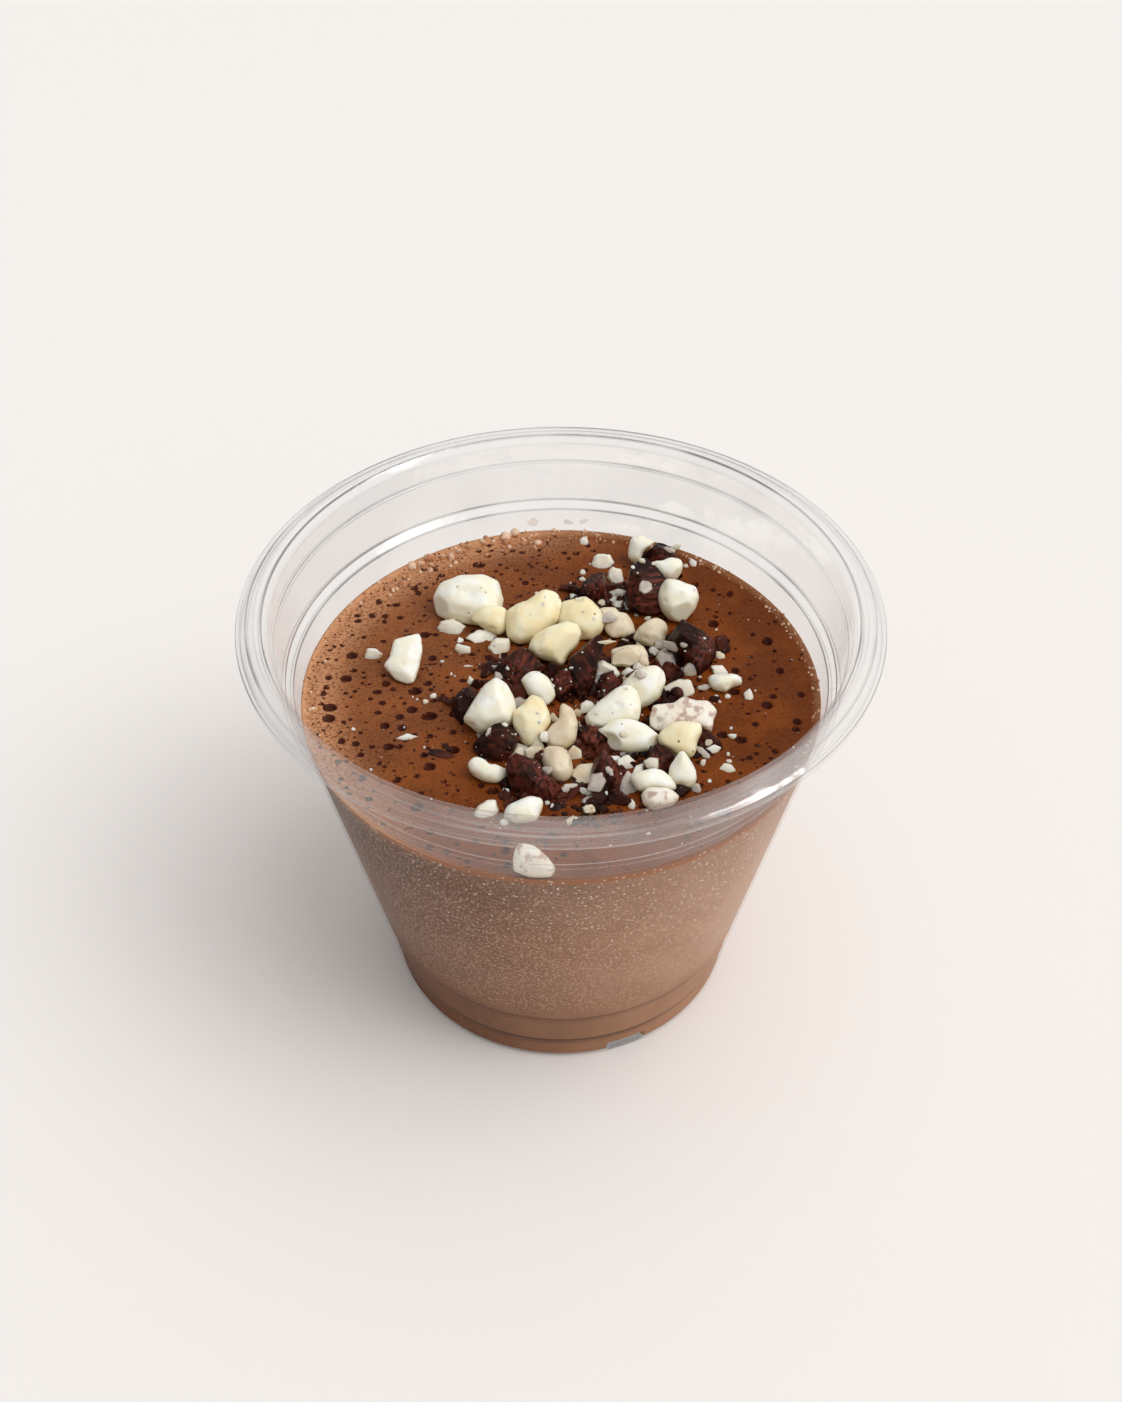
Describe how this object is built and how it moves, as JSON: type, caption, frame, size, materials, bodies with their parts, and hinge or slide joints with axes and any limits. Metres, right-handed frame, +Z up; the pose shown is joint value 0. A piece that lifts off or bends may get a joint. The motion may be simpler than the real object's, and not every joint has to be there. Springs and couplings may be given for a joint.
{
  "type": "chocolate mousse in a clear plastic cup",
  "caption": "Squat clear plastic dessert cup filled with airy chocolate mousse, topped with a loose heap of chopped pale nuts and dark chocolate shards.",
  "frame": {"origin": "middle of the cup's base, on the surface it stands on", "axes": "+Z up along the cup's axis; -Y towards the side from which the heap of toppings is seen in the usual view; +X to the right"},
  "size_m": [0.095, 0.095, 0.0745],
  "materials": {
    "clear_plastic": "clear, thin and glossy, as thermoformed PET",
    "mousse": "soft satin brown foam with many small open bubbles",
    "pale_nut": "ivory, waxy, with small brown specks",
    "dark_chocolate": "very dark red-brown, striated, slightly glossy"
  },
  "bodies": {
    "root": {"cup": "clear_plastic", "mousse": "mousse", "nut_01": "pale_nut", "nut_02": "pale_nut", "nut_03": "pale_nut", "nut_04": "pale_nut", "nut_05": "pale_nut", "nut_06": "pale_nut", "nut_07": "pale_nut", "nut_08": "pale_nut", "nut_09": "pale_nut", "nut_10": "pale_nut", "nut_11": "pale_nut", "nut_12": "pale_nut", "nut_13": "pale_nut", "nut_14": "pale_nut", "nut_15": "pale_nut", "nut_16": "pale_nut", "nut_17": "pale_nut", "nut_18": "pale_nut", "nut_19": "pale_nut", "nut_20": "pale_nut", "nut_21": "pale_nut", "nut_22": "pale_nut", "nut_23": "pale_nut", "nut_24": "pale_nut", "nut_25": "pale_nut", "nut_26": "pale_nut", "nut_27": "pale_nut", "nut_28": "pale_nut", "nut_29": "pale_nut", "chocolate_01": "dark_chocolate", "chocolate_02": "dark_chocolate", "chocolate_03": "dark_chocolate", "chocolate_04": "dark_chocolate", "chocolate_05": "dark_chocolate", "chocolate_06": "dark_chocolate", "chocolate_07": "dark_chocolate", "chocolate_08": "dark_chocolate", "chocolate_09": "dark_chocolate", "chocolate_10": "dark_chocolate", "chocolate_11": "dark_chocolate", "chocolate_12": "dark_chocolate", "chocolate_13": "dark_chocolate", "chocolate_14": "dark_chocolate"}
  },
  "joints": []
}
